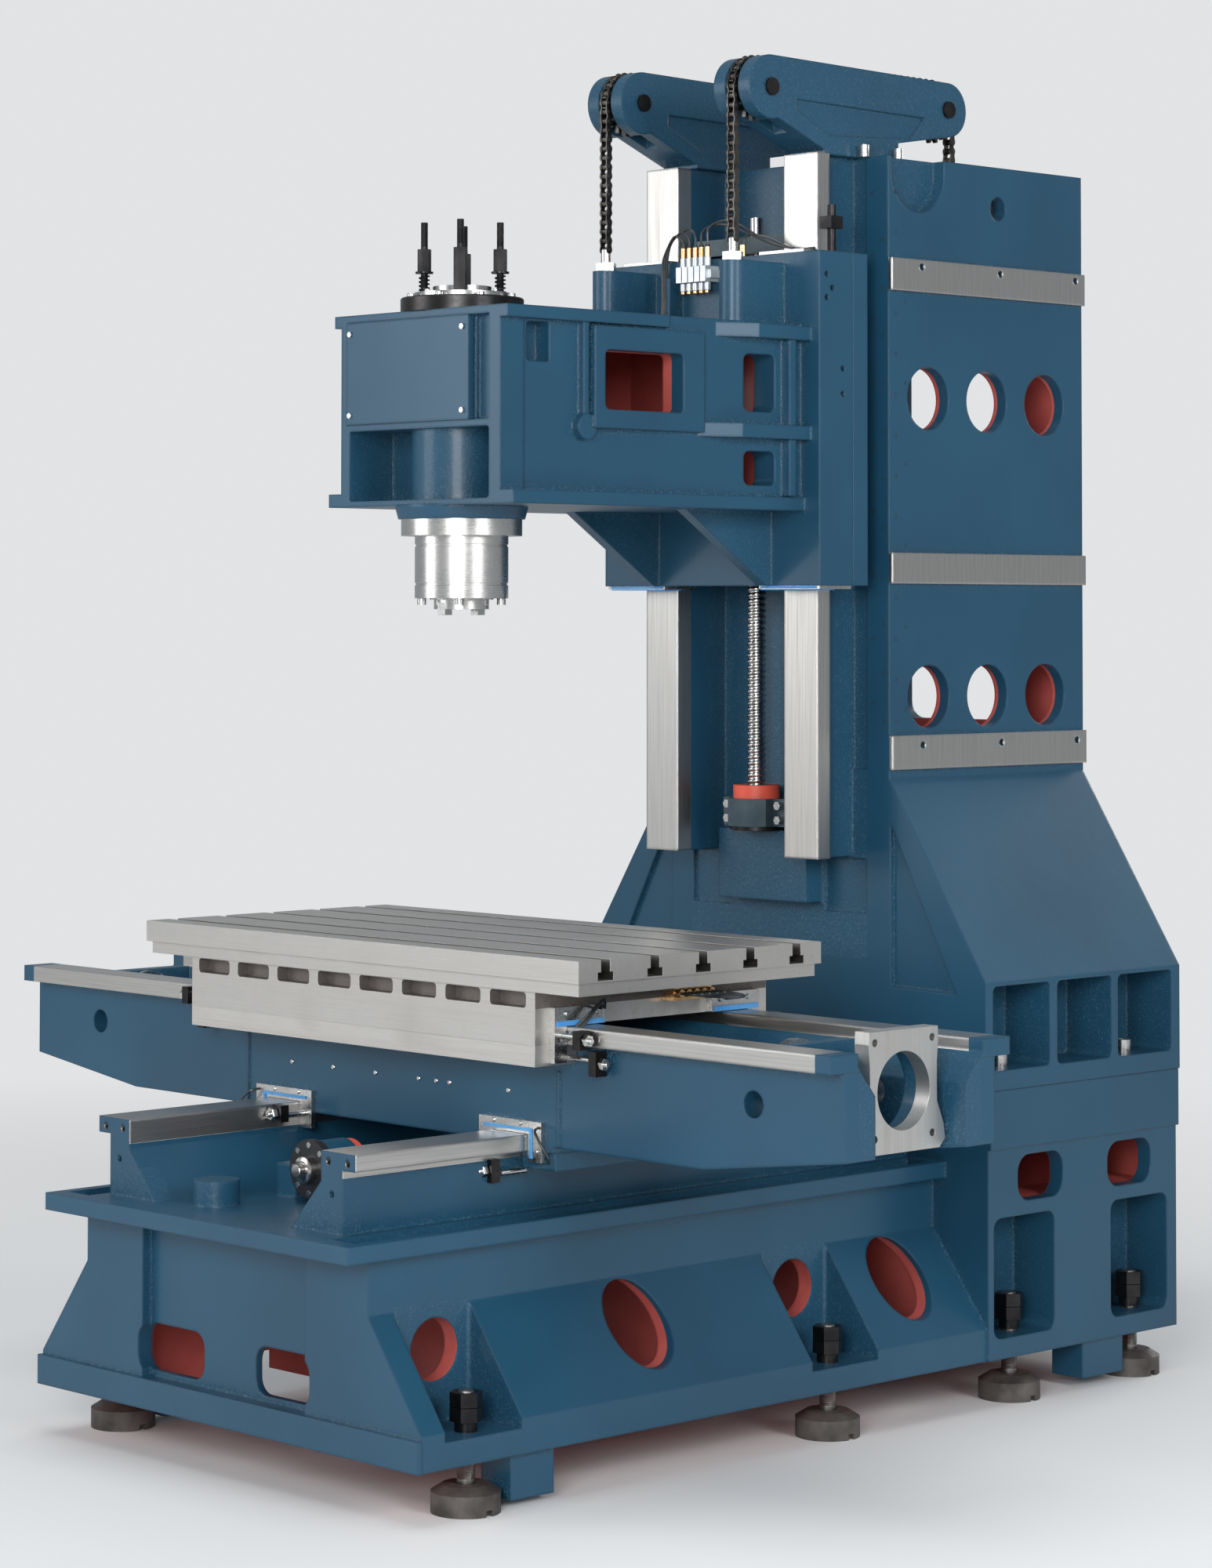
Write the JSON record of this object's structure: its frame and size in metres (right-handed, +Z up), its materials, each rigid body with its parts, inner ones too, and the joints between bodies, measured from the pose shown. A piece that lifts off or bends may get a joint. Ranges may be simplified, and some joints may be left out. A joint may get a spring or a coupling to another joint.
{
  "type": "cnc machining center",
  "caption": "Bed-type vertical machining centre with cross saddle, T-slotted table, counterweighted headstock and ball screws, shown without covers.",
  "frame": {"origin": "middle of the footprint, on the floor that the levelling pads stand on", "axes": "+X to the operator's right along the table, +Y from the operator to the column, +Z up"},
  "size_m": [1.845, 1.75, 2.1747],
  "materials": {
    "casting_paint": "gloss",
    "ground_iron": "ground",
    "raw_iron": "as cast",
    "steel": "satin",
    "black_oxide": "satin",
    "bumper_rubber": "matt",
    "brass_fitting": "satin",
    "light_alloy": "satin",
    "bearing_green": "satin"
  },
  "bodies": {
    "frame": {"base_casting": "casting_paint", "levelling_pads": "raw_iron", "levelling_screws": "steel", "levelling_nuts": "black_oxide", "y_bearing": "black_oxide", "y_bearing_bolts": "black_oxide", "y_bumper": "bumper_rubber", "y_tail_bearing": "bearing_green", "column_casting": "casting_paint", "column_bolts": "steel", "z_bearing_bracket": "bearing_green", "z_bracket_bolts": "steel", "z_collar": "black_oxide", "z_bumper": "bumper_rubber", "z_top_bearing": "bearing_green", "chain_bracket_left": "casting_paint", "chain_bracket_right": "casting_paint", "bracket_bolts": "steel", "sprocket_pins": "black_oxide", "chain_tops": "black_oxide"},
    "saddle": {"saddle_casting": "casting_paint", "saddle_keepers": "ground_iron", "saddle_wipers": "steel", "y_nut": "steel", "x_motor_plate": "ground_iron", "x_bearings": "steel"},
    "table": {"table_casting": "ground_iron", "table_keepers": "ground_iron", "table_wipers": "steel", "table_manifold": "brass_fitting", "x_nut": "steel"},
    "head": {"headstock_casting": "casting_paint", "slide_keepers": "steel", "slide_wipers": "steel", "front_cover": "casting_paint", "cover_screws": "steel", "spindle_cartridge": "steel", "nose_bolts": "steel", "top_ring": "black_oxide", "top_collar": "steel", "tie_rods": "black_oxide", "rod_nuts": "black_oxide", "rod_springs": "black_oxide", "lube_manifold": "light_alloy", "manifold_fittings": "brass_fitting", "head_gib_adjuster": "black_oxide", "chain_anchors": "steel", "z_nut": "steel", "chain_front": "black_oxide"},
    "spindle": {"spindle_shaft": "steel", "drive_keys": "steel"},
    "y_screw": {"y_ball_screw": "steel"},
    "x_screw": {"x_ball_screw": "steel"},
    "z_screw": {"z_ball_screw": "steel"},
    "front_wheels": {"front_sprockets": "black_oxide"},
    "rear_wheels": {"rear_sprockets": "black_oxide"},
    "balance_weight": {"counterweight": "raw_iron", "chain_rear": "black_oxide"}
  },
  "joints": [
    {"name": "y_slide", "type": "slide", "parent": "frame", "child": "saddle", "axis": [0, 1, 0], "range_m": [-0.25, 0.25]},
    {"name": "x_slide", "type": "slide", "parent": "saddle", "child": "table", "axis": [1, 0, 0], "range_m": [-0.425, 0.425]},
    {"name": "z_slide", "type": "slide", "parent": "frame", "child": "head", "axis": [0, 0, 1], "range_m": [-0.38, 0.12], "deforming": ["chain_front"]},
    {"name": "spindle_spin", "type": "hinge", "parent": "head", "child": "spindle", "pos_m": [0, -0.344, 1.4], "axis": [0, 0, 1], "continuous": true},
    {"name": "y_screw_spin", "type": "hinge", "parent": "frame", "child": "y_screw", "pos_m": [0, -0.3, 0.434], "axis": [0, 1, 0], "range_deg": [-9100, 9100]},
    {"name": "x_screw_spin", "type": "hinge", "parent": "saddle", "child": "x_screw", "pos_m": [0, -0.3175, 0.604], "axis": [1, 0, 0], "range_deg": [-15400, 15400]},
    {"name": "z_screw_spin", "type": "hinge", "parent": "frame", "child": "z_screw", "pos_m": [0, 0.3226, 1.4], "axis": [0, 0, 1], "range_deg": [-13800, 4500]},
    {"name": "front_wheel_spin", "type": "hinge", "parent": "frame", "child": "front_wheels", "pos_m": [0, 0.161, 2.119], "axis": [1, 0, 0], "range_deg": [-150, 460]},
    {"name": "rear_wheel_spin", "type": "hinge", "parent": "frame", "child": "rear_wheels", "pos_m": [0, 0.597, 2.119], "axis": [1, 0, 0], "range_deg": [-150, 460]},
    {"name": "weight_slide", "type": "slide", "parent": "frame", "child": "balance_weight", "axis": [0, 0, 1], "range_m": [-0.12, 0.38], "deforming": ["chain_rear"]}
  ],
  "couplings": [
    {"joint": "y_screw_spin", "follows": "y_slide", "rad_per_m": 628.32},
    {"joint": "x_screw_spin", "follows": "x_slide", "rad_per_m": 628.32},
    {"joint": "z_screw_spin", "follows": "z_slide", "rad_per_m": 628.32},
    {"joint": "front_wheel_spin", "follows": "z_slide", "rad_per_m": -20.747},
    {"joint": "rear_wheel_spin", "follows": "z_slide", "rad_per_m": -20.747},
    {"joint": "weight_slide", "follows": "z_slide", "ratio": -1}
  ]
}
